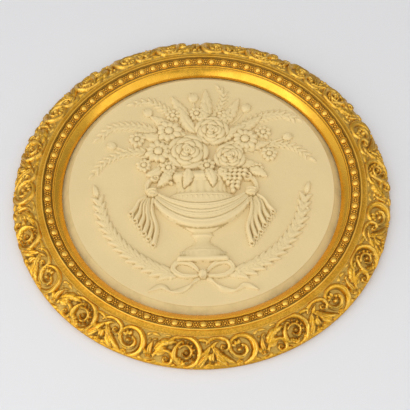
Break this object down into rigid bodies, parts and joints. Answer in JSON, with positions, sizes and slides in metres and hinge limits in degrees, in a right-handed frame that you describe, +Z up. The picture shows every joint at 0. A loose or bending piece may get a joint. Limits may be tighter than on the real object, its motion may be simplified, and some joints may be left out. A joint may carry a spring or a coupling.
{
  "type": "round relief plaque",
  "caption": "Round plaster relief plaque of an urn of flowers, in a turned gilt frame with a bead course and carved leafy scrolls, hung by a keyhole slot.",
  "frame": {"origin": "on the flat back of the frame at its top, just above the keyhole slot it hangs on", "axes": "+Z up the wall, -Y out of the wall towards the viewer, +X to the viewer's right; the back lies in the plane y = 0"},
  "size_m": [0.3914, 0.0212, 0.391],
  "materials": {
    "gilt": "aged gold leaf, burnished on the inner slope, with dull patina in the carving",
    "plaster": "matt cream plaster"
  },
  "bodies": {
    "root": {"gilt_frame": "gilt", "relief_plaque": "plaster"}
  },
  "joints": []
}
